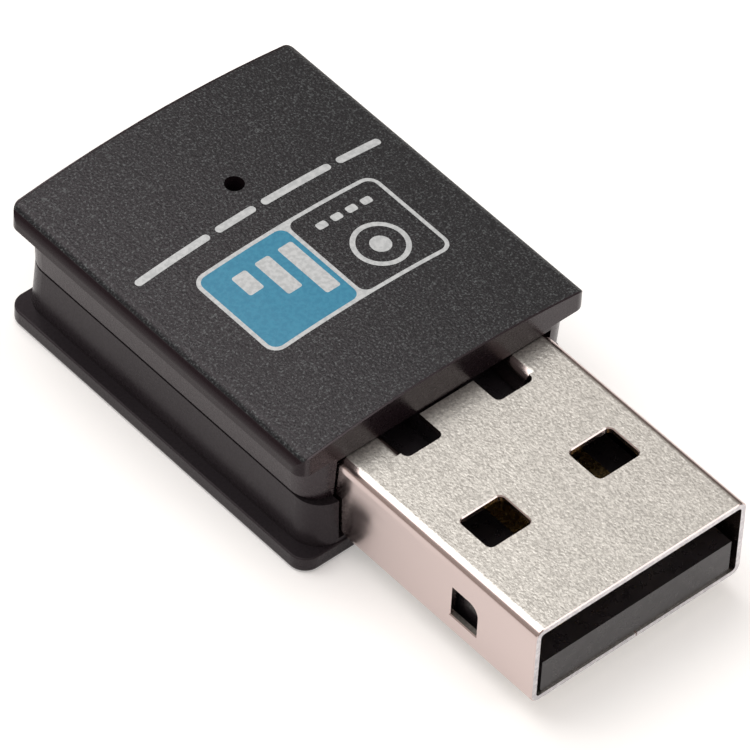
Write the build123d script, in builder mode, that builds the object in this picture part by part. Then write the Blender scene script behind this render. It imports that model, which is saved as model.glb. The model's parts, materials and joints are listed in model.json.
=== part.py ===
"""A small USB wifi adapter: a two-shell plastic housing with a bare USB-A plug and a radio board inside.

Millimetres. +Z is up, the plug points along -Y and +X is to the right of the plug.
The origin is at the middle of the overall footprint, on the flat underside.
Distances along the adapter are given as a distance behind the plug's tip, through behind_tip().
"""
import math
import os

from build123d import *

os.makedirs("parts", exist_ok=True)

# ---------------------------------------------------------------- driving dimensions
overall_length = 31.9

# standard-size USB-A plug
plug_width = 12.0
plug_height = 4.5
plug_reach = 12.05
plug_bottom_z = 1.05
plug_bend_radius = 0.5
sheet_thickness = 0.3
plug_sheet_length = 15.5

window_width = 2.4
window_length = 2.0
window_offset_x = 3.1
window_start = 4.8
window_corner_radius = 0.25
side_window_length = 1.65
side_window_height = 1.7
side_window_start = 3.55
side_window_bottom_z = 2.25
side_window_radius = 0.55
notch_inner_x = 1.53
notch_outer_x = 3.65
notch_start = 10.83
notch_corner_radius = 0.3
relief_length = 0.37
tab_end = 12.42
catch_bend_x = 3.95
catch_bend_radius = 0.55
catch_bottom_z = 4.3
catch_end = 14.2
sheared_edge = 0.05
seam_gap = 0.06
ear_length = 2.7
ear_height = 2.4

# housing: flange at the bottom, waist, arched and overhanging top plate
waist_half_width = 7.35
rim_half_width = 8.15
waist_corner_radius = 1.3
plate_corner_radius = 0.6
flange_corner_radius = 0.85
wall_slant = 3.0
waist_front = 12.5
flange_height = 0.85
flange_bottom_round = 0.2
flange_top_round = 0.08
plate_bottom_z = 5.8
plate_side_z = 6.8
crown_z = 7.4
plate_side_round = 0.7
parting_z = 3.45
parting_slit_height = 0.12
parting_slit_depth = 0.15

# inside the housing
side_wall = 1.0
front_wall = 1.2
floor_z = 1.0
ceiling_z = 6.2
cavity_corner_radius = 0.5
lip_thickness = 0.45
lip_height = 0.6
fit_gap = 0.05
cut_margin = 1.0
plug_side_gap = 0.09
led_hole_radius = 0.46
led_distance = 26.4

# plug insulator and contacts
tongue_half_width = 5.4
tongue_recess = 0.1
tongue_bottom_z = plug_bottom_z + sheet_thickness
tongue_top_z = 3.25
tongue_edge_round = 0.25
block_half_width = 5.65
block_start = 9.6
block_top_z = 5.2
pocket_floor_z = 4.2
contact_width = 1.0
contact_thickness = 0.25
contact_proud = 0.04
contact_nose_round = 0.15
contact_tail_end = 17.0
power_contact_start = 1.2
data_contact_start = 2.2
contact_places = {
    "contact_ground": (-3.5, power_contact_start),
    "contact_data_plus": (-1.0, data_contact_start),
    "contact_data_minus": (1.0, data_contact_start),
    "contact_vbus": (3.5, power_contact_start),
}

# circuit board
board_top_z = tongue_top_z + contact_proud - contact_thickness
board_thickness = 1.0
board_half_width = 6.2
board_front = 15.6
board_back = 30.7
board_neck_half_width = 5.65
board_neck_end = 18.4
board_corner_radius = 0.4
board_notch_width = 1.0
board_notch_depth = 0.5
board_notch_distance = 24.6


def behind_tip(distance):
    """Y of a place that lies this far behind the plug's tip."""
    return distance - overall_length / 2


housing_back = overall_length / 2
flange_front_y = behind_tip(plug_reach)
waist_front_y = behind_tip(waist_front)
plug_top_z = plug_bottom_z + plug_height
plug_mid_z = plug_bottom_z + plug_height / 2
lower_height = parting_z - flange_height
lower_spread = (lower_height - parting_slit_height) * math.tan(math.radians(wall_slant))
lower_front_y = flange_front_y + flange_top_round + lower_spread
upper_height = plate_bottom_z - parting_z
upper_spread = upper_height * math.tan(math.radians(wall_slant))
cavity_half_width = waist_half_width - side_wall
cavity_front_y = waist_front_y + front_wall
cavity_back_y = housing_back - side_wall
board_bottom_z = board_top_z - board_thickness
rib_distances = (19.0, 29.2)
rib_width = 1.2
rib_depth = 0.9


def plan(half_width, front_y, back_y, radius):
    """A rounded rectangle, as wide as 2 half_width, between two places along Y."""
    with Locations((0, (front_y + back_y) / 2)):
        RectangleRounded(2 * half_width, back_y - front_y, radius)


def block(x, y, size_x, size_y, bottom_z, height, mode=Mode.ADD):
    """An upright block in the current part, centred on x and y."""
    with BuildSketch(Plane.XY.offset(bottom_z)) as footprint:
        with Locations((x, y)):
            Rectangle(size_x, size_y)
    extrude(footprint.sketch, amount=height, mode=mode)


def is_outside(face):
    """Whether a face of the plug shell lies on the outside of the folded sheet."""
    center = face.center()
    outside_width = abs(abs(center.X) - plug_width / 2) < sheared_edge
    outside_height = abs(abs(center.Z - plug_mid_z) - plug_height / 2) < sheared_edge
    return outside_width or outside_height


# ---------------------------------------------------------------- housing, bottom half
with BuildPart() as bottom_cover:
    with BuildSketch():
        plan(rim_half_width, flange_front_y, housing_back, flange_corner_radius)
    extrude(amount=flange_height)
    fillet(bottom_cover.faces().sort_by(Axis.Z)[0].edges(), radius=flange_bottom_round)
    fillet(bottom_cover.faces().sort_by(Axis.Z)[-1].edges(), radius=flange_top_round)
    # the waist narrows upwards to a slit under the top half
    with BuildSketch(Plane.XY.offset(parting_z - parting_slit_height)):
        plan(waist_half_width, lower_front_y, housing_back - lower_spread, waist_corner_radius)
    extrude(amount=parting_slit_height - lower_height, taper=-wall_slant)
    with BuildSketch(Plane.XY.offset(parting_z - parting_slit_height)):
        plan(
            waist_half_width - parting_slit_depth,
            waist_front_y + parting_slit_depth,
            housing_back - parting_slit_depth - lower_spread,
            waist_corner_radius - parting_slit_depth,
        )
    extrude(amount=parting_slit_height)
    # the lip that locates the top half
    with BuildSketch(Plane.XY.offset(parting_z)):
        plan(
            cavity_half_width + lip_thickness,
            cavity_front_y - lip_thickness,
            cavity_back_y + lip_thickness,
            cavity_corner_radius + lip_thickness,
        )
    extrude(amount=lip_height)
    with BuildSketch(Plane.XY.offset(floor_z)):
        plan(cavity_half_width, cavity_front_y, cavity_back_y, cavity_corner_radius)
    extrude(amount=parting_z + lip_height - floor_z, mode=Mode.SUBTRACT)
    # the mouth for the plug, open at the top
    block(
        0,
        flange_front_y + front_wall,
        plug_width + 2 * plug_side_gap,
        2 * (front_wall + cut_margin),
        plug_bottom_z,
        plug_height,
        Mode.SUBTRACT,
    )
    # ledges that carry the board, and ribs that fit its side notches
    for side in (-1, 1):
        for distance in rib_distances:
            block(
                side * (cavity_half_width - rib_depth / 2),
                behind_tip(distance),
                rib_depth,
                rib_width,
                floor_z,
                board_bottom_z - floor_z,
            )
        block(
            side * (cavity_half_width - (board_notch_depth + fit_gap) / 2),
            behind_tip(board_notch_distance),
            board_notch_depth,
            board_notch_width - 2 * fit_gap,
            floor_z,
            board_top_z + fit_gap - floor_z,
        )
bottom_cover.part.label = "bottom_cover"
export_step(bottom_cover.part, "parts/bottom_cover.step")

# ---------------------------------------------------------------- housing, top half
with BuildPart() as top_cover:
    with BuildSketch(Plane.XY.offset(plate_bottom_z)):
        plan(rim_half_width, waist_front_y, housing_back, plate_corner_radius)
    extrude(amount=crown_z - plate_bottom_z)
    # the top is a shallow arch from side to side, rounded down into the sides
    with BuildSketch(Plane.XZ):
        with BuildLine():
            sides = Polyline(
                (-rim_half_width, plate_side_z),
                (-rim_half_width, plate_bottom_z),
                (rim_half_width, plate_bottom_z),
                (rim_half_width, plate_side_z),
            )
            ThreePointArc(sides @ 1, (0, crown_z), sides @ 0)
        make_face()
        fillet(vertices().group_by(Axis.Y)[-1], radius=plate_side_round)
    extrude(amount=overall_length, both=True, mode=Mode.INTERSECT)
    # the waist narrows downwards to the parting line
    with BuildSketch(Plane.XY.offset(parting_z)):
        plan(waist_half_width, waist_front_y + upper_spread, housing_back - upper_spread, waist_corner_radius)
    extrude(amount=upper_height, taper=-wall_slant)
    with BuildSketch(Plane.XY.offset(parting_z)):
        plan(cavity_half_width, cavity_front_y, cavity_back_y, cavity_corner_radius)
    extrude(amount=ceiling_z - parting_z, mode=Mode.SUBTRACT)
    # the step that takes the bottom half's lip
    with BuildSketch(Plane.XY.offset(parting_z)):
        plan(
            cavity_half_width + lip_thickness + fit_gap,
            cavity_front_y - lip_thickness - fit_gap,
            cavity_back_y + lip_thickness + fit_gap,
            cavity_corner_radius + lip_thickness + fit_gap,
        )
    extrude(amount=lip_height + fit_gap, mode=Mode.SUBTRACT)
    # the mouth for the plug, open at the bottom
    block(
        0,
        waist_front_y,
        plug_width + 2 * plug_side_gap,
        2 * front_wall + cut_margin,
        parting_z,
        plug_top_z + fit_gap - parting_z,
        Mode.SUBTRACT,
    )
    # ribs that hold the board down
    for side in (-1, 1):
        for distance in rib_distances:
            block(
                side * (cavity_half_width - fit_gap - rib_depth / 2),
                behind_tip(distance),
                rib_depth,
                rib_width,
                board_top_z + fit_gap,
                ceiling_z + fit_gap - board_top_z,
            )
    # the hole over the status light
    with Locations((0, behind_tip(led_distance), crown_z)):
        Hole(radius=led_hole_radius, depth=crown_z - ceiling_z + cut_margin)
top_cover.part.label = "top_cover"
export_step(top_cover.part, "parts/top_cover.step")

# ---------------------------------------------------------------- plug shell, folded from one sheet
with BuildPart() as plug_shell:
    with BuildSketch(Plane.XZ.offset(-behind_tip(plug_sheet_length))):
        with Locations((0, plug_mid_z)):
            RectangleRounded(plug_width, plug_height, plug_bend_radius)
            RectangleRounded(
                plug_width - 2 * sheet_thickness,
                plug_height - 2 * sheet_thickness,
                plug_bend_radius - sheet_thickness,
                mode=Mode.SUBTRACT,
            )
    extrude(amount=plug_sheet_length)
    # two windows in the top and two in the bottom
    with BuildSketch():
        with Locations((0, behind_tip(window_start + window_length / 2))):
            with GridLocations(2 * window_offset_x, 0, 2, 1):
                RectangleRounded(window_width, window_length, window_corner_radius)
    extrude(amount=crown_z, mode=Mode.SUBTRACT)
    # a catch window in each side, with one rounded corner
    with BuildSketch(Plane.YZ):
        with Locations((behind_tip(side_window_start), side_window_bottom_z)):
            Rectangle(side_window_length, side_window_height, align=(Align.MIN, Align.MIN))
        fillet(vertices().group_by(Axis.Y)[-1].sort_by(Axis.X)[0], radius=side_window_radius)
    extrude(amount=plug_width, both=True, mode=Mode.SUBTRACT)
    # two notches at the rear of the top, with a tab left between them
    with BuildSketch(Plane.XY.offset(plug_mid_z)):
        for side in (-1, 1):
            with Locations((side * (notch_inner_x + notch_outer_x) / 2, behind_tip(notch_start))):
                Rectangle(
                    notch_outer_x - notch_inner_x,
                    plug_sheet_length - notch_start,
                    align=(Align.CENTER, Align.MIN),
                )
        fillet(vertices().group_by(Axis.Y)[0], radius=notch_corner_radius)
        catch_start = notch_start + relief_length
        for side in (-1, 1):
            with Locations((side * (notch_outer_x + catch_bend_x) / 2, behind_tip(catch_start))):
                Rectangle(
                    catch_bend_x - notch_outer_x,
                    plug_sheet_length - catch_start,
                    align=(Align.CENTER, Align.MIN),
                )
        with Locations((0, behind_tip(tab_end))):
            Rectangle(2 * catch_bend_x, plug_sheet_length - tab_end, align=(Align.CENTER, Align.MIN))
    extrude(amount=plug_height, mode=Mode.SUBTRACT)
    # thin sheared edges: round the front opening and round every window
    rim = plug_shell.faces().sort_by(Axis.Y)[0].outer_wire().edges()
    windows = [wire for face in plug_shell.faces() if is_outside(face) for wire in face.inner_wires()]
    chamfer([*rim, *[edge for wire in windows for edge in wire.edges()]], length=sheared_edge)
    # a catch at the outer side of each notch, bent down into the insulator
    for side in (-1, 1):
        with BuildSketch(Plane.XZ.offset(-behind_tip(catch_end))) as catch:
            with BuildLine():
                inner_radius = catch_bend_radius - sheet_thickness
                bend_z = plug_top_z - catch_bend_radius
                face_x = catch_bend_x - catch_bend_radius
                corner = math.sqrt(0.5)
                ThreePointArc(
                    (side * catch_bend_x, plug_top_z),
                    (side * (catch_bend_x - catch_bend_radius * corner), bend_z + catch_bend_radius * corner),
                    (side * face_x, bend_z),
                )
                Polyline(
                    (side * face_x, bend_z),
                    (side * face_x, catch_bottom_z),
                    (side * (face_x + sheet_thickness), catch_bottom_z),
                    (side * (face_x + sheet_thickness), bend_z),
                )
                ThreePointArc(
                    (side * (face_x + sheet_thickness), bend_z),
                    (side * (catch_bend_x - inner_radius * corner), bend_z + inner_radius * corner),
                    (side * catch_bend_x, plug_top_z - sheet_thickness),
                )
                Line((side * catch_bend_x, plug_top_z - sheet_thickness), (side * catch_bend_x, plug_top_z))
            make_face()
        extrude(catch.sketch, amount=catch_end - catch_start)
    # the seam where the folded sheet's edges meet, along the bottom
    block(0, 0, seam_gap, overall_length, 0, plug_mid_z, Mode.SUBTRACT)
    # an ear on each side, soldered to the board
    for side in (-1, 1):
        block(
            side * (plug_width - sheet_thickness) / 2,
            behind_tip(plug_sheet_length + ear_length / 2 - fit_gap),
            sheet_thickness,
            ear_length + 2 * fit_gap,
            board_top_z - ear_height / 2,
            ear_height,
        )
plug_shell.part.label = "plug_shell"
export_step(plug_shell.part, "parts/plug_shell.step")

# ---------------------------------------------------------------- plug insulator: tongue and rear block
with BuildPart() as plug_insulator:
    tongue_length = plug_sheet_length - tongue_recess
    block(
        0,
        behind_tip(tongue_recess + tongue_length / 2),
        2 * tongue_half_width,
        tongue_length,
        tongue_bottom_z,
        tongue_top_z - tongue_bottom_z,
    )
    fillet(
        plug_insulator.edges().filter_by(Axis.Y).group_by(Axis.Z)[0],
        radius=tongue_edge_round,
    )
    block_length = plug_sheet_length - block_start
    block_y = behind_tip(block_start + block_length / 2)
    block(
        0,
        block_y,
        2 * block_half_width,
        block_length,
        tongue_bottom_z + tongue_edge_round,
        block_top_z - tongue_bottom_z - tongue_edge_round,
    )
    # hollows under the notches of the shell, which also take its bent catches
    for side in (-1, 1):
        block(
            side * (notch_inner_x + catch_bend_x) / 2,
            block_y,
            catch_bend_x - notch_inner_x + 2 * fit_gap,
            block_length - 2 * sheet_thickness,
            pocket_floor_z,
            plug_height,
            Mode.SUBTRACT,
        )
    # grooves and passages for the contacts
    for contact_x, contact_start in contact_places.values():
        block(
            contact_x,
            behind_tip((contact_start + plug_sheet_length) / 2),
            contact_width,
            plug_sheet_length - contact_start,
            board_top_z,
            contact_thickness,
            Mode.SUBTRACT,
        )
plug_insulator.part.label = "plug_insulator"
export_step(plug_insulator.part, "parts/plug_insulator.step")

# ---------------------------------------------------------------- the four plug contacts
for contact_name, (contact_x, contact_start) in contact_places.items():
    with BuildPart() as contact:
        contact_length = contact_tail_end - contact_start
        block(
            contact_x,
            behind_tip(contact_start + contact_length / 2),
            contact_width,
            contact_length,
            board_top_z,
            contact_thickness,
        )
        nose = contact.edges().filter_by(Axis.X).group_by(Axis.Y)[0].sort_by(Axis.Z)[-1]
        fillet(nose, radius=contact_nose_round)
    contact.part.label = contact_name
    export_step(contact.part, "parts/" + contact_name + ".step")

# ---------------------------------------------------------------- circuit board
with BuildPart() as circuit_board:
    with BuildSketch(Plane.XY.offset(board_bottom_z)):
        plan(
            board_half_width,
            behind_tip(board_neck_end),
            behind_tip(board_back),
            board_corner_radius,
        )
        with Locations((0, behind_tip(board_front))):
            Rectangle(
                2 * board_neck_half_width,
                board_neck_end - board_front + board_half_width,
                align=(Align.CENTER, Align.MIN),
            )
        for side in (-1, 1):
            with Locations((side * board_half_width, behind_tip(board_notch_distance))):
                Rectangle(2 * board_notch_depth, board_notch_width, mode=Mode.SUBTRACT)
    extrude(amount=board_thickness)
circuit_board.part.label = "circuit_board"
export_step(circuit_board.part, "parts/circuit_board.step")

# ---------------------------------------------------------------- parts soldered to the board
# places are (x, distance behind the plug's tip)
wifi_chip_place = (-0.6, 21.3)
wifi_chip_side = 5.0
wifi_chip_height = 0.85
wifi_chip_lands_per_side = 10
wifi_chip_land_pitch = 0.42
wifi_chip_land_width = 0.22
wifi_chip_land_reach = 0.15
wifi_chip_land_height = 0.2

crystal_place = (4.0, 22.5)
crystal_size = (2.5, 3.2)
crystal_base_height = 0.5
crystal_lid_size = (2.2, 2.9)
crystal_lid_height = 0.25

light_place = (0, led_distance)
light_size = (1.6, 0.8)
light_base_height = 0.2
light_lens_size = (1.1, 0.8)
light_lens_height = 0.4

inductor_place = (-4.7, 21.6)
inductor_size = (2.0, 2.5)
inductor_height = 1.2

regulator_place = (-4.2, 25.8)
regulator_size = (1.6, 2.9)
regulator_height = 1.1
regulator_standoff = 0.05
regulator_lead_pitch = 0.95
regulator_lead_width = 0.4
regulator_lead_reach = 0.6
regulator_lead_thickness = 0.15
regulator_lead_shoulder = 0.2
regulator_lead_height = 0.6

bulk_size = (1.25, 2.0)
bulk_height = 1.25
bulk_places = ((4.6, 19.6), (4.1, 25.6))
bead_size = (0.8, 1.6)
bead_height = 0.8
bead_place = (3.0, 18.4)

small_length = 1.0
small_width = 0.5
capacitor_height = 0.5
resistor_height = 0.35
terminal_length = 0.25
terminal_margin = 0.02
capacitor_places = ((-1.0, 24.7), (-0.1, 24.7), (0.8, 24.7), (2.9, 25.0), (-3.8, 18.2), (0.5, 18.0))
resistor_places = ((-2.2, 18.0), (-0.9, 18.0), (1.1, 25.8), (2.9, 26.3))
matching_x = 1.9
matching_distances = (24.7, 25.8, 26.9)
matching_places = tuple((side * matching_x, distance) for side in (-1, 1) for distance in matching_distances)

antenna_start = 27.45
antenna_end = 30.3
antenna_line = 0.5
antenna_pitch = 1.05
antenna_runs = 4
copper_thickness = 0.035

solder_side = 0.5
solder_length = 1.6


def two_terminal_bodies(places, length, width, height):
    """The bodies of small parts lying along Y, without their end terminals."""
    for x, distance in places:
        block(x, behind_tip(distance), width, length - 2 * terminal_length, board_top_z, height)


def two_terminal_ends(places, length, width, height):
    """The metal end terminals of the same parts, a little larger than the bodies all round."""
    for x, distance in places:
        for end in (-1, 1):
            block(
                x,
                behind_tip(distance) + end * (length - terminal_length) / 2,
                width + 2 * terminal_margin,
                terminal_length,
                board_top_z,
                height + terminal_margin,
            )


# radio chip, with a solder joint at each of its lands
chip_x, chip_distance = wifi_chip_place
chip_y = behind_tip(chip_distance)
with BuildPart() as wifi_chip:
    block(chip_x, chip_y, wifi_chip_side, wifi_chip_side, board_top_z, wifi_chip_height)
wifi_chip.part.label = "wifi_chip"
export_step(wifi_chip.part, "parts/wifi_chip.step")

with BuildPart() as wifi_chip_joints:
    joint_offset = (wifi_chip_side + wifi_chip_land_reach) / 2
    with BuildSketch(Plane.XY.offset(board_top_z)):
        for side in (-1, 1):
            with Locations((chip_x + side * joint_offset, chip_y)):
                with GridLocations(0, wifi_chip_land_pitch, 1, wifi_chip_lands_per_side):
                    Rectangle(wifi_chip_land_reach, wifi_chip_land_width)
            with Locations((chip_x, chip_y + side * joint_offset)):
                with GridLocations(wifi_chip_land_pitch, 0, wifi_chip_lands_per_side, 1):
                    Rectangle(wifi_chip_land_width, wifi_chip_land_reach)
    extrude(amount=wifi_chip_land_height)
wifi_chip_joints.part.label = "wifi_chip_joints"
export_step(wifi_chip_joints.part, "parts/wifi_chip_joints.step")

# clock crystal: ceramic base and metal lid
crystal_x, crystal_distance = crystal_place
crystal_y = behind_tip(crystal_distance)
with BuildPart() as crystal_base:
    block(crystal_x, crystal_y, *crystal_size, board_top_z, crystal_base_height)
crystal_base.part.label = "crystal_base"
export_step(crystal_base.part, "parts/crystal_base.step")

with BuildPart() as crystal_lid:
    block(crystal_x, crystal_y, *crystal_lid_size, board_top_z + crystal_base_height, crystal_lid_height)
    fillet(crystal_lid.edges().filter_by(Axis.Z), radius=terminal_length)
crystal_lid.part.label = "crystal_lid"
export_step(crystal_lid.part, "parts/crystal_lid.step")

# status light: base and clear lens, under the hole in the top
light_x, light_distance = light_place
light_y = behind_tip(light_distance)
with BuildPart() as status_light_base:
    block(light_x, light_y, *light_size, board_top_z, light_base_height)
status_light_base.part.label = "status_light_base"
export_step(status_light_base.part, "parts/status_light_base.step")

with BuildPart() as status_light_lens:
    block(light_x, light_y, *light_lens_size, board_top_z + light_base_height, light_lens_height)
    chamfer(status_light_lens.edges().filter_by(Axis.Y).group_by(Axis.Z)[-1], length=light_base_height / 2)
status_light_lens.part.label = "status_light_lens"
export_step(status_light_lens.part, "parts/status_light_lens.step")

# power inductor
inductor_x, inductor_distance = inductor_place
with BuildPart() as power_inductor:
    block(inductor_x, behind_tip(inductor_distance), *inductor_size, board_top_z, inductor_height)
    chamfer(power_inductor.edges().filter_by(Axis.Z), length=terminal_length)
power_inductor.part.label = "power_inductor"
export_step(power_inductor.part, "parts/power_inductor.step")

# voltage regulator: moulded body and five bent leads
regulator_x, regulator_distance = regulator_place
regulator_y = behind_tip(regulator_distance)
regulator_bottom_z = board_top_z + regulator_standoff
with BuildPart() as voltage_regulator:
    block(
        regulator_x,
        regulator_y,
        *regulator_size,
        regulator_bottom_z,
        regulator_height - regulator_standoff,
    )
voltage_regulator.part.label = "voltage_regulator"
export_step(voltage_regulator.part, "parts/voltage_regulator.step")

with BuildPart() as regulator_leads:
    for side, steps in ((-1, (-1, 0, 1)), (1, (-1, 1))):
        root_x = regulator_x + side * regulator_size[0] / 2
        for step in steps:
            lead_y = regulator_y + step * regulator_lead_pitch
            with BuildSketch(Plane.XZ.offset(-lead_y - regulator_lead_width / 2)):
                with BuildLine():
                    top = board_top_z + regulator_lead_height
                    shoulder = root_x + side * regulator_lead_shoulder
                    toe = root_x + side * regulator_lead_reach
                    Polyline(
                        (root_x, top),
                        (shoulder + side * regulator_lead_thickness, top),
                        (shoulder + side * regulator_lead_thickness, board_top_z + regulator_lead_thickness),
                        (toe, board_top_z + regulator_lead_thickness),
                        (toe, board_top_z),
                        (shoulder, board_top_z),
                        (shoulder, top - regulator_lead_thickness),
                        (root_x, top - regulator_lead_thickness),
                        close=True,
                    )
                make_face()
            extrude(amount=regulator_lead_width)
regulator_leads.part.label = "regulator_leads"
export_step(regulator_leads.part, "parts/regulator_leads.step")

# capacitors, resistors, the bead and the radio matching parts, each kind as a group
with BuildPart() as ceramic_capacitors:
    two_terminal_bodies(capacitor_places, small_length, small_width, capacitor_height)
ceramic_capacitors.part.label = "ceramic_capacitors"
export_step(ceramic_capacitors.part, "parts/ceramic_capacitors.step")

with BuildPart() as bulk_capacitors:
    two_terminal_bodies(bulk_places, bulk_size[1], bulk_size[0], bulk_height)
bulk_capacitors.part.label = "bulk_capacitors"
export_step(bulk_capacitors.part, "parts/bulk_capacitors.step")

with BuildPart() as resistors:
    two_terminal_bodies(resistor_places, small_length, small_width, resistor_height)
resistors.part.label = "resistors"
export_step(resistors.part, "parts/resistors.step")

with BuildPart() as antenna_matching_parts:
    two_terminal_bodies(matching_places, small_length, small_width, capacitor_height)
antenna_matching_parts.part.label = "antenna_matching_parts"
export_step(antenna_matching_parts.part, "parts/antenna_matching_parts.step")

with BuildPart() as ferrite_bead:
    two_terminal_bodies((bead_place,), bead_size[1], bead_size[0], bead_height)
ferrite_bead.part.label = "ferrite_bead"
export_step(ferrite_bead.part, "parts/ferrite_bead.step")

with BuildPart() as end_terminals:
    two_terminal_ends(capacitor_places + matching_places, small_length, small_width, capacitor_height)
    two_terminal_ends(resistor_places, small_length, small_width, resistor_height)
    two_terminal_ends(bulk_places, bulk_size[1], bulk_size[0], bulk_height)
    two_terminal_ends((bead_place,), bead_size[1], bead_size[0], bead_height)
end_terminals.part.label = "end_terminals"
export_step(end_terminals.part, "parts/end_terminals.step")

# two antennas, copper lines that wind back and forth across the rear of the board
antenna_length = antenna_end - antenna_start
for side, antenna_name in ((-1, "printed_antenna_left"), (1, "printed_antenna_right")):
    with BuildPart() as printed_antenna:
        for run in range(antenna_runs):
            run_x = side * (matching_x + run * antenna_pitch)
            block(
                run_x,
                behind_tip(antenna_start + antenna_length / 2),
                antenna_line,
                antenna_length,
                board_top_z,
                copper_thickness,
            )
            if run < antenna_runs - 1:
                link = antenna_end - antenna_line / 2 if run % 2 == 0 else antenna_start + antenna_line / 2
                block(
                    run_x + side * antenna_pitch / 2,
                    behind_tip(link),
                    antenna_pitch,
                    antenna_line,
                    board_top_z,
                    copper_thickness,
                )
    printed_antenna.part.label = antenna_name
    export_step(printed_antenna.part, "parts/" + antenna_name + ".step")

# solder that holds the plug shell's ears and the contacts' tails
with BuildPart() as shell_solder:
    for side in (-1, 1):
        wall_x = side * (plug_width / 2 - sheet_thickness)
        for face_z, up in ((board_top_z, 1), (board_bottom_z, -1)):
            with BuildSketch(Plane.XZ.offset(-behind_tip(board_front + terminal_length + solder_length))):
                with BuildLine():
                    Polyline(
                        (wall_x, face_z),
                        (wall_x, face_z + up * solder_side),
                        (wall_x - side * solder_side, face_z),
                        close=True,
                    )
                make_face()
            extrude(amount=solder_length)
shell_solder.part.label = "shell_solder"
export_step(shell_solder.part, "parts/shell_solder.step")

with BuildPart() as contact_solder:
    for contact_x, contact_start in contact_places.values():
        with BuildSketch(Plane.YZ.offset(contact_x - contact_width / 2)):
            with BuildLine():
                tail_y = behind_tip(contact_tail_end)
                Polyline(
                    (tail_y, board_top_z),
                    (tail_y, board_top_z + contact_thickness),
                    (tail_y + terminal_length, board_top_z),
                    close=True,
                )
            make_face()
        extrude(amount=contact_width)
contact_solder.part.label = "contact_solder"
export_step(contact_solder.part, "parts/contact_solder.step")
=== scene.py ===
"""Looks for the small USB wifi adapter: camera, light, floor, materials and the printed marks on its top.

Everything is in metres, in the CAD model's frame: +Z up, the plug points along -Y.
"""
import json
import math

import bmesh
import bpy
from mathutils import Matrix, Vector
from mathutils.bvhtree import BVHTree


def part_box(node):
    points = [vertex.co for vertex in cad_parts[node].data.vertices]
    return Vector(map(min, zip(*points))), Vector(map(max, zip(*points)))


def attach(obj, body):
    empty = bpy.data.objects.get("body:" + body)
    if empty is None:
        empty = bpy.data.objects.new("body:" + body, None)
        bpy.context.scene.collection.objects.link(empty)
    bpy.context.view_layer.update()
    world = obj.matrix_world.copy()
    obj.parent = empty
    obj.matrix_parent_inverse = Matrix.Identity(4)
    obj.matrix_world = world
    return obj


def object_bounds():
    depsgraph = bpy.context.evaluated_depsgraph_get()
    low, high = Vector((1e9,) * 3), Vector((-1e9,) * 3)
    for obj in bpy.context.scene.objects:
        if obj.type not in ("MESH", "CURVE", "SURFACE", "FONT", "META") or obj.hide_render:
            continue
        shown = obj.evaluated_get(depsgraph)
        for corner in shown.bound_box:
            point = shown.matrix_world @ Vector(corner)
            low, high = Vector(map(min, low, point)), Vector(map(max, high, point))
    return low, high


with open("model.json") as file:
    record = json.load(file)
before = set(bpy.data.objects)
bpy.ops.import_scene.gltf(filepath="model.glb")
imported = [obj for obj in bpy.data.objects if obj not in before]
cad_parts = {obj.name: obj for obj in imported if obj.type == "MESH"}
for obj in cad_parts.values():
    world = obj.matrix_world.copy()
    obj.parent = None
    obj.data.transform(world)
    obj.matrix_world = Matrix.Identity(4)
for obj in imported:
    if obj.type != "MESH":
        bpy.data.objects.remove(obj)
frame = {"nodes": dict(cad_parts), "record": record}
nodes = frame["nodes"]
cad_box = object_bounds()
MM = 0.001

# ---------------------------------------------------------------- camera
CAMERA_PLACE = Vector((-0.1658, -0.1716, 0.2590))
VIEW_AZIMUTH = math.radians(-43.86)
VIEW_ELEVATION = math.radians(46.91)
VIEW_ROLL = math.radians(-3.64)
LENS = 390.4

camera_data = bpy.data.cameras.new("camera")
camera_data.lens = LENS
camera_data.sensor_width = 36
camera_data.clip_start = 0.01
camera_data.clip_end = 20
camera = bpy.data.objects.new("camera", camera_data)
bpy.context.scene.collection.objects.link(camera)
bpy.context.scene.camera = camera
back = Vector((
    math.sin(VIEW_AZIMUTH) * math.cos(VIEW_ELEVATION),
    -math.cos(VIEW_AZIMUTH) * math.cos(VIEW_ELEVATION),
    math.sin(VIEW_ELEVATION),
))
level_right = Vector((math.cos(VIEW_AZIMUTH), math.sin(VIEW_AZIMUTH), 0))
level_up = back.cross(level_right)
right = level_right * math.cos(VIEW_ROLL) - level_up * math.sin(VIEW_ROLL)
up = back.cross(right)
axes = Matrix((right, up, back)).transposed()
camera.matrix_world = Matrix.Translation(CAMERA_PLACE) @ axes.to_4x4()

# ---------------------------------------------------------------- light and floor
scene = bpy.context.scene
scene.view_settings.view_transform = "Standard"
scene.view_settings.look = "None"


def add_area(name, place, aim, size, power, colour):
    """A soft square light that points from place at aim."""
    data = bpy.data.lights.new(name, "AREA")
    data.shape = "RECTANGLE"
    data.size, data.size_y = size
    data.energy = power
    data.color = colour
    light = bpy.data.objects.new(name, data)
    bpy.context.scene.collection.objects.link(light)
    place = Vector(place)
    turn = (Vector(aim) - place).to_track_quat("-Z", "Y").to_matrix().to_4x4()
    light.matrix_world = Matrix.Translation(place) @ turn


add_area("key_softbox", (-0.045, 0.178, 0.411), (0, 0, 0), (0.44, 0.41), 1.38, (1, 0.995, 0.98))
add_area("front_fill", (0.20, -0.31, 0.24), (0, 0, 0), (0.22, 0.16), 0.24, (1, 0.99, 0.98))

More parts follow.
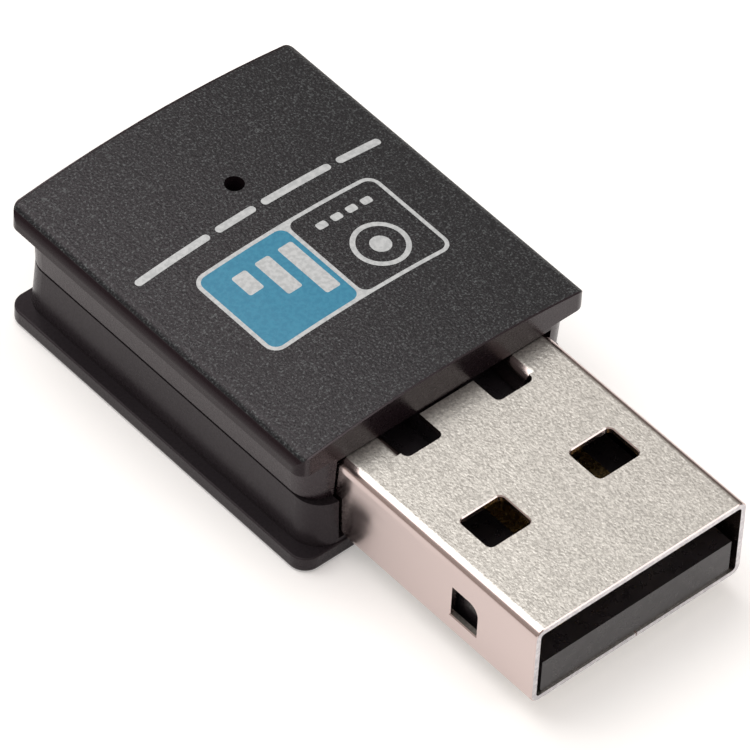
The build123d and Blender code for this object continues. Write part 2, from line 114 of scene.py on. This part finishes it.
world = bpy.data.worlds.new("studio")
scene.world = world
world.use_nodes = True
sky = world.node_tree
sky.nodes.clear()
sky_out = sky.nodes.new("ShaderNodeOutputWorld")
sky_light = sky.nodes.new("ShaderNodeBackground")
sky_ramp = sky.nodes.new("ShaderNodeValToRGB")
sky_split = sky.nodes.new("ShaderNodeSeparateXYZ")
sky_coord = sky.nodes.new("ShaderNodeTexCoord")
sky.links.new(sky_coord.outputs["Generated"], sky_split.inputs[0])
sky.links.new(sky_split.outputs["Z"], sky_ramp.inputs["Fac"])
sky.links.new(sky_ramp.outputs["Color"], sky_light.inputs["Color"])
# the room is darker towards +X
sky_side = sky.nodes.new("ShaderNodeMapRange")
sky_side.inputs["From Min"].default_value = 0.05
sky_side.inputs["From Max"].default_value = 0.85
sky_side.inputs["To Min"].default_value = 1.0
sky_side.inputs["To Max"].default_value = 0.45
sky.links.new(sky_split.outputs["X"], sky_side.inputs["Value"])
sky.links.new(sky_side.outputs["Result"], sky_light.inputs["Strength"])
sky.links.new(sky_light.outputs[0], sky_out.inputs["Surface"])
ramp = sky_ramp.color_ramp
ramp.elements[0].position = 0.0
ramp.elements[0].color = (0.45, 0.38, 0.34, 1)
ramp.elements[1].position = 1.0
ramp.elements[1].color = (0.85, 0.80, 0.77, 1)
middle = ramp.elements.new(0.55)
middle.color = (0.52, 0.47, 0.44, 1)


# ---------------------------------------------------------------- node helpers
class Surface:
    """A material with one Principled shader, and short calls for the nodes that feed it."""

    def __init__(self, name):
        self.material = bpy.data.materials.new(name)
        self.material.use_nodes = True
        self.tree = self.material.node_tree
        self.shader = self.tree.nodes["Principled BSDF"]
        self.coord = self.tree.nodes.new("ShaderNodeTexCoord")
        self.millimetres = self.tree.nodes.new("ShaderNodeVectorMath")
        self.millimetres.operation = "SCALE"
        self.millimetres.inputs["Scale"].default_value = 1 / MM
        self.tree.links.new(self.coord.outputs["Object"], self.millimetres.inputs[0])

    def set(self, **values):
        """Constants on the shader's own sockets, with underscores for spaces."""
        for name, value in values.items():
            self.shader.inputs[name.replace("_", " ")].default_value = value
        return self

    def link(self, source, target):
        self.tree.links.new(source, target)

    def feed(self, source, socket):
        self.tree.links.new(source, self.shader.inputs[socket])

    def noise(self, scale, detail=2.0, roughness=0.5, distortion=0.0, stretch=None):
        """Noise with this many features per millimetre."""
        node = self.tree.nodes.new("ShaderNodeTexNoise")
        node.inputs["Scale"].default_value = scale
        node.inputs["Detail"].default_value = detail
        node.inputs["Roughness"].default_value = roughness
        node.inputs["Distortion"].default_value = distortion
        source = self.millimetres.outputs[0]
        if stretch:
            scaled = self.tree.nodes.new("ShaderNodeVectorMath")
            scaled.operation = "MULTIPLY"
            scaled.inputs[1].default_value = stretch
            self.link(source, scaled.inputs[0])
            source = scaled.outputs[0]
        self.link(source, node.inputs["Vector"])
        return node.outputs["Fac"]

    def cells(self, scale):
        """Distance to the nearest cell centre, in cells, this many cells per millimetre."""
        node = self.tree.nodes.new("ShaderNodeTexVoronoi")
        node.inputs["Scale"].default_value = scale
        self.link(self.millimetres.outputs[0], node.inputs["Vector"])
        return node.outputs["Distance"]

    def ramp(self, value, low, high, out_low=0.0, out_high=1.0):
        """A smooth step of a value, from out_low at low to out_high at high."""
        node = self.tree.nodes.new("ShaderNodeMapRange")
        node.interpolation_type = "SMOOTHSTEP"
        node.inputs["From Min"].default_value = low
        node.inputs["From Max"].default_value = high
        node.inputs["To Min"].default_value = out_low
        node.inputs["To Max"].default_value = out_high
        self.link(value, node.inputs["Value"])
        return node.outputs["Result"]

    def math(self, operation, first, second=None, third=None):
        node = self.tree.nodes.new("ShaderNodeMath")
        node.operation = operation
        for index, value in enumerate((first, second, third)):
            if value is None:
                continue
            if isinstance(value, (int, float)):
                node.inputs[index].default_value = value
            else:
                self.link(value, node.inputs[index])
        return node.outputs[0]

    def split(self, vector):
        node = self.tree.nodes.new("ShaderNodeSeparateXYZ")
        self.link(vector, node.inputs[0])
        return node.outputs

    def blend(self, factor, first, second):
        """A colour between two colours, or between two colour sockets."""
        node = self.tree.nodes.new("ShaderNodeMix")
        node.data_type = "RGBA"
        self.link(factor, node.inputs[0])
        for index, value in ((6, first), (7, second)):
            if isinstance(value, tuple):
                node.inputs[index].default_value = (*value, 1)
            else:
                self.link(value, node.inputs[index])
        return node.outputs[2]

    def bump(self, height, depth_mm, strength=1.0, after=None):
        """Relief of this depth in millimetres, on top of an earlier relief."""
        node = self.tree.nodes.new("ShaderNodeBump")
        node.inputs["Strength"].default_value = strength
        node.inputs["Distance"].default_value = depth_mm * MM
        self.link(height, node.inputs["Height"])
        if after:
            self.link(after, node.inputs["Normal"])
        return node.outputs["Normal"]


def dress(node_name, surface):
    """Gives a CAD node its finished material."""
    nodes[node_name].material_slots[0].material = surface.material


# ---------------------------------------------------------------- housing plastic
top_low, top_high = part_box("top_cover")
SMOOTH_PLASTIC = (0.012, 0.0075, 0.0095)
PLATE_BOTTOM = 5.8
EDGE_DULLING = -0.22


def housing(name, base, light, gloss, tint, grained):
    """Charcoal moulded plastic: satin, with the top face's spark-eroded grain where it is wanted; the lighter
    flecks in the grain's colour are painted glints.
    """
    s = Surface(name)
    fine = s.noise(5.0, detail=3.0)
    satin_rough = s.ramp(fine, 0.3, 0.7, 0.25, 0.30)
    relief = s.bump(s.noise(14.0, detail=1.0), 0.0012)
    if grained:
        place = s.split(s.millimetres.outputs[0])
        side = s.math("ABSOLUTE", place["X"])
        facing = s.split(s.coord.outputs["Normal"])["Z"]
        inside_side = s.ramp(side, top_high.x / MM - 0.18, top_high.x / MM - 0.22)
        inside_front = s.ramp(place["Y"], top_low.y / MM + 0.08, top_low.y / MM + 0.12)
        inside_back = s.ramp(place["Y"], top_high.y / MM - 0.08, top_high.y / MM - 0.12)
        face = s.ramp(facing, 0.66, 0.70)
        across = s.math("MULTIPLY", inside_side, inside_front)
        along = s.math("MULTIPLY", inside_back, face)
        mask = s.math("MULTIPLY", across, along)
        grain = s.noise(7.5, detail=2.0, roughness=0.6)
        # the lighter flecks mixed into the grain's colour are painted glints of the grain's facets
        painted_glint_fleck = s.ramp(s.noise(9.5, detail=2.0, roughness=0.65), 0.50, 0.72)
        relief = s.bump(s.math("MULTIPLY", grain, mask), 0.045, after=relief)
        rough = s.math("ADD", satin_rough, s.math("MULTIPLY", mask, 0.16))
        colour = s.blend(s.math("MULTIPLY", painted_glint_fleck, mask), s.blend(mask, SMOOTH_PLASTIC, base), light)
        s.feed(rough, "Roughness")
        # the plate's two side edges are duller than the walls below them
        sideways = s.math("ABSOLUTE", s.split(s.coord.outputs["Normal"])["X"])
        on_plate = s.ramp(place["Z"], PLATE_BOTTOM - 0.05, PLATE_BOTTOM + 0.05)
        edge = s.math("MULTIPLY", s.ramp(sideways, 0.4, 0.6), on_plate)
        s.feed(s.math("MULTIPLY_ADD", edge, EDGE_DULLING, gloss), "Specular IOR Level")
    else:
        drift = s.noise(0.25, detail=1.0)
        colour = s.blend(s.ramp(drift, 0.35, 0.65), base, light)
        s.feed(satin_rough, "Roughness")
    s.feed(colour, "Base Color")
    s.feed(relief, "Normal")
    return s.set(Specular_IOR_Level=gloss, Specular_Tint=(*tint, 1))


# for the top, the lighter colour is the painted glint colour of the grain's flecks
dress("top_cover", housing(
    "housing_top", (0.0088, 0.0108, 0.0118), (0.086, 0.096, 0.098), 0.37, (1, 0.87, 0.93), True,
))
dress("bottom_cover", housing(
    "housing_bottom", (0.019, 0.0155, 0.018), (0.022, 0.0185, 0.021), 0.17, (1, 0.88, 0.94), False,
))

# ---------------------------------------------------------------- plug metal
plug_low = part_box("plug_shell")[0]


def nickel(name):
    """Nickel-plated sheet: mottled satin on top and bottom, smoother on the sides, dull at the cut tip; the
    sides' darker pinkish colour is painted shade and a painted reflection of the shaded floor beside them.
    """
    s = Surface(name)
    facing = s.split(s.coord.outputs["Normal"])
    place = s.split(s.millimetres.outputs[0])
    flat = s.ramp(s.math("ABSOLUTE", facing["Z"]), 0.965, 0.995)
    at_tip = s.ramp(place["Y"], plug_low.y / MM + 0.2, plug_low.y / MM + 0.1)
    tip = s.math("MULTIPLY", s.ramp(facing["Y"], -0.85, -0.97), at_tip)
    mottle = s.noise(9.0, detail=2.0, roughness=0.5, stretch=(1.0, 0.8, 1.0))
    speck = s.ramp(s.noise(8.0, detail=2.0, roughness=0.6, stretch=(1.0, 0.8, 1.0)), 0.30, 0.70)
    ripple = s.noise(0.35, detail=1.0)
    streak = s.noise(2.0, detail=2.0, stretch=(1.0, 0.15, 1.0))
    relief = s.bump(s.math("MULTIPLY", mottle, flat), 0.011)
    relief = s.bump(ripple, 0.010, after=relief)
    rough = s.math("ADD", s.ramp(streak, 0.3, 0.7, 0.17, 0.21), s.math("MULTIPLY", flat, 0.18))
    rough = s.math("ADD", rough, s.math("MULTIPLY", tip, 0.25))
    mottled = s.blend(speck, (0.52, 0.50, 0.465), (0.80, 0.775, 0.725))
    # the sides' darker pinkish colour is painted shade and a painted reflection of the shaded floor beside
    # them
    plain = s.blend(flat, (0.57, 0.475, 0.455), mottled)
    cut = s.blend(s.ramp(s.noise(6.0, detail=3.0), 0.4, 0.65), (0.58, 0.56, 0.58), (0.72, 0.70, 0.71))
    s.feed(s.blend(tip, plain, cut), "Base Color")
    s.feed(rough, "Roughness")
    s.feed(relief, "Normal")
    return s.set(Metallic=1.0)


dress("plug_shell", nickel("plug_nickel"))


# ---------------------------------------------------------------- other materials
def simple(name, dark, light, scale, rough_low, rough_high, depth_mm, **values):
    """A surface with uneven colour and gloss and fine relief; scale is in features per millimetre."""
    s = Surface(name)
    s.feed(s.blend(s.ramp(s.noise(scale, detail=3.0), 0.35, 0.65), dark, light), "Base Color")
    s.feed(s.ramp(s.noise(scale * 1.7, detail=2.0), 0.3, 0.7, rough_low, rough_high), "Roughness")
    s.feed(s.bump(s.noise(scale * 3.0, detail=2.0), depth_mm), "Normal")
    return s.set(**values)


surfaces = {
    "insulator_plastic": simple(
        "insulator", (0.014, 0.012, 0.014), (0.019, 0.016, 0.019), 1.5, 0.26, 0.34, 0.002,
    ),
    "contact_metal": simple(
        "gold_flash", (0.80, 0.56, 0.22), (0.86, 0.64, 0.30), 3.0, 0.20, 0.32, 0.002, Metallic=1.0,
    ),
    "board_laminate": simple(
        "solder_mask", (0.008, 0.075, 0.030), (0.012, 0.105, 0.042), 0.8, 0.25, 0.35, 0.004,
    ),
    "board_copper": simple(
        "copper_line", (0.55, 0.30, 0.12), (0.68, 0.40, 0.18), 2.0, 0.28, 0.40, 0.003, Metallic=1.0,
    ),
    "chip_mould": simple("chip_mould", (0.018, 0.018, 0.019), (0.028, 0.028, 0.030), 6.0, 0.50, 0.62, 0.006),
    "crystal_ceramic": simple("ceramic_base", (0.16, 0.13, 0.11), (0.22, 0.19, 0.16), 3.0, 0.45, 0.60, 0.004),
    "crystal_metal": simple(
        "lid_metal", (0.70, 0.66, 0.56), (0.78, 0.74, 0.64), 2.5, 0.22, 0.34, 0.003, Metallic=1.0,
    ),
    "light_base": simple("light_base", (0.78, 0.78, 0.74), (0.86, 0.86, 0.83), 3.0, 0.30, 0.42, 0.002),
    "light_lens": simple(
        "light_lens", (0.82, 0.90, 0.84), (0.90, 0.96, 0.92), 2.0, 0.06, 0.12, 0.001,
        Transmission_Weight=0.85, IOR=1.5,
    ),
    "inductor_ferrite": simple("ferrite", (0.10, 0.10, 0.11), (0.16, 0.16, 0.17), 4.0, 0.45, 0.60, 0.008),
    "capacitor_ceramic": simple(
        "tan_ceramic", (0.38, 0.26, 0.16), (0.48, 0.35, 0.23), 4.0, 0.35, 0.50, 0.004,
    ),
    "resistor_black": simple(
        "black_glaze", (0.015, 0.015, 0.018), (0.030, 0.030, 0.034), 4.0, 0.20, 0.32, 0.002,
    ),
    "matching_ceramic": simple(
        "pale_ceramic", (0.52, 0.50, 0.48), (0.62, 0.60, 0.58), 4.0, 0.35, 0.50, 0.004,
    ),
    "tinned_metal": simple(
        "tin_plate", (0.62, 0.62, 0.62), (0.76, 0.76, 0.76), 4.0, 0.28, 0.42, 0.006, Metallic=1.0,
    ),
    "solder": simple("solder", (0.52, 0.53, 0.54), (0.66, 0.67, 0.68), 3.0, 0.25, 0.40, 0.010, Metallic=1.0),
}
for part in frame["record"]["subparts"]:
    if part["material_slot"] in surfaces:
        dress(part["node"], surfaces[part["material_slot"]])


# ---------------------------------------------------------------- printed marks on the top
INK_LIFT = 0.010 * MM
INK_STEP = 0.30 * MM
cover_mesh = nodes["top_cover"].data
cover_tree = BVHTree.FromPolygons(
    [vertex.co for vertex in cover_mesh.vertices],
    [tuple(polygon.vertices) for polygon in cover_mesh.polygons],
)


def surface_height(x, y):
    """Height of the top face above the floor at a place."""
    hit = cover_tree.ray_cast(Vector((x, y, 2 * top_high.z)), Vector((0, 0, -1)))
    return hit[0].z


def ink_sheet(mesh, outline, holes=()):
    """Adds a flat inked area, given as closed outlines in the XY plane."""
    edges = []
    for loop in (outline, *holes):
        points = [mesh.verts.new((x, y, 0)) for x, y in loop]
        after = points[1:] + points[:1]
        edges += [mesh.edges.new(pair) for pair in zip(points, after)]
    bmesh.ops.triangle_fill(mesh, use_beauty=True, use_dissolve=True, edges=edges, normal=(0, 0, 1))


def finish_ink(mesh, name, surface):
    """Cuts the flat ink into narrow strips, lays it on the arch and gives it its body, slot and material."""
    low = min(v.co.x for v in mesh.verts)
    high = max(v.co.x for v in mesh.verts)
    cut = low + INK_STEP
    while cut < high:
        everything = [*mesh.verts, *mesh.edges, *mesh.faces]
        bmesh.ops.bisect_plane(mesh, geom=everything, plane_co=(cut, 0, 0), plane_no=(1, 0, 0), dist=1e-9)
        cut += INK_STEP
    for vertex in mesh.verts:
        vertex.co.z = surface_height(vertex.co.x, vertex.co.y) + INK_LIFT
    bmesh.ops.recalc_face_normals(mesh, faces=mesh.faces)
    for face in mesh.faces:
        if face.normal.z < 0:
            face.normal_flip()
        face.smooth = True
    data = bpy.data.meshes.new(name)
    mesh.to_mesh(data)
    mesh.free()
    piece = bpy.data.objects.new(name, data)
    bpy.context.scene.collection.objects.link(piece)
    data.materials.append(surface.material)
    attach(piece, "root")


def rounded(x0, y0, x1, y1, radius, steps=6):
    """The corners of a rounded rectangle, anticlockwise."""
    points = []
    for cx, cy, start in (
        (x1 - radius, y0 + radius, -90), (x1 - radius, y1 - radius, 0),
        (x0 + radius, y1 - radius, 90), (x0 + radius, y0 + radius, 180),
    ):
        for step in range(steps + 1):
            turn = math.radians(start + 90 * step / steps)
            points.append((cx + radius * math.cos(turn), cy + radius * math.sin(turn)))
    return points


def circle(cx, cy, radius, steps=40):
    """The points of a circle, anticlockwise."""
    turns = [2 * math.pi * step / steps for step in range(steps)]
    return [(cx + radius * math.cos(turn), cy + radius * math.sin(turn)) for turn in turns]


plug_tip_y = plug_low.y
MARK_CORNER = 0.12 * MM
LABEL_FRONT = plug_tip_y + 17.75 * MM
LABEL_BACK = plug_tip_y + 23.3 * MM
LABEL_HALF = 5.15 * MM
LABEL_RADIUS = 0.65 * MM
LINE = 0.2 * MM


def ink(name, dark, light, gloss):
    """Screen-printed ink: slightly uneven cover and gloss."""
    return simple(name, dark, light, 5.0, gloss, gloss + 0.1, 0.004)


white_ink = ink("white_ink", (0.42, 0.44, 0.45), (0.53, 0.55, 0.56), 0.42)
blue_ink = ink("blue_ink", (0.016, 0.185, 0.310), (0.026, 0.220, 0.350), 0.42)

# the frame: one rounded outline with a line down its middle
frame_ink = bmesh.new()
inner_front, inner_back, inner_radius = LABEL_FRONT + LINE, LABEL_BACK - LINE, LABEL_RADIUS - LINE
left_window = rounded(-LABEL_HALF + LINE, inner_front, -LINE / 2, inner_back, inner_radius)
right_window = rounded(LINE / 2, inner_front, LABEL_HALF - LINE, inner_back, inner_radius)
ink_sheet(
    frame_ink,
    rounded(-LABEL_HALF, LABEL_FRONT, LABEL_HALF, LABEL_BACK, LABEL_RADIUS),
    (left_window, right_window),
)
finish_ink(frame_ink, "label_frame", white_ink)

# the left half: blue ground, left open for three rising white bars
bars = []
for index, height in enumerate((1.3, 2.3, 3.3)):
    x = (-3.75 + 1.3 * index) * MM
    bars.append((x, LABEL_BACK - 1.05 * MM - height * MM, x + 0.8 * MM, LABEL_BACK - 1.05 * MM))
ground = bmesh.new()
ink_sheet(ground, left_window, [rounded(*bar, MARK_CORNER) for bar in bars])
finish_ink(ground, "label_ground", blue_ink)
white_bars = bmesh.new()
for bar in bars:
    ink_sheet(white_bars, rounded(*bar, MARK_CORNER))
finish_ink(white_bars, "label_bars", white_ink)

# the right half: a ring round a dot, and short dashes
sign = bmesh.new()
ring_x, ring_y = 2.6 * MM, LABEL_FRONT + 2.0 * MM
ink_sheet(sign, circle(ring_x, ring_y, 1.35 * MM), (circle(ring_x, ring_y, 1.10 * MM),))
ink_sheet(sign, circle(ring_x, ring_y, 0.50 * MM))
for index in range(4):
    x = (1.05 + 0.85 * index) * MM
    ink_sheet(sign, rounded(x, LABEL_BACK - 1.35 * MM, x + 0.55 * MM, LABEL_BACK - 0.95 * MM, MARK_CORNER))
finish_ink(sign, "label_sign", white_ink)

# a plain broken line across the top
dashes = bmesh.new()
dash_y = plug_tip_y + 24.75 * MM
dash_x = -6.95 * MM
for length in (4.1, 2.2, 3.9, 2.5):
    ink_sheet(dashes, rounded(dash_x, dash_y - 0.2 * MM, dash_x + length * MM, dash_y + 0.2 * MM, 0.19 * MM))
    dash_x += (length + 0.4) * MM
finish_ink(dashes, "dash_line", white_ink)

# ---------------------------------------------------------------- floor
FLOOR_HALF = 1.5
FLOOR_GAP = 0.00002
floor_mesh = bmesh.new()
bmesh.ops.create_grid(floor_mesh, x_segments=4, y_segments=4, size=FLOOR_HALF)
floor_data = bpy.data.meshes.new("floor")
floor_mesh.to_mesh(floor_data)
floor_mesh.free()
floor = bpy.data.objects.new("floor", floor_data)
bpy.context.scene.collection.objects.link(floor)
floor.location.z = cad_box[0].z - FLOOR_GAP
paper = Surface("floor_paper")
tone = paper.ramp(paper.noise(0.02), 0.3, 0.7)
paper.feed(paper.blend(tone, (0.88, 0.87, 0.86), (0.90, 0.89, 0.88)), "Base Color")
paper.set(Roughness=0.75, Specular_IOR_Level=0.3, Emission_Color=(1, 1, 1, 1), Emission_Strength=0.25)
floor_data.materials.append(paper.material)

bpy.context.view_layer.update()
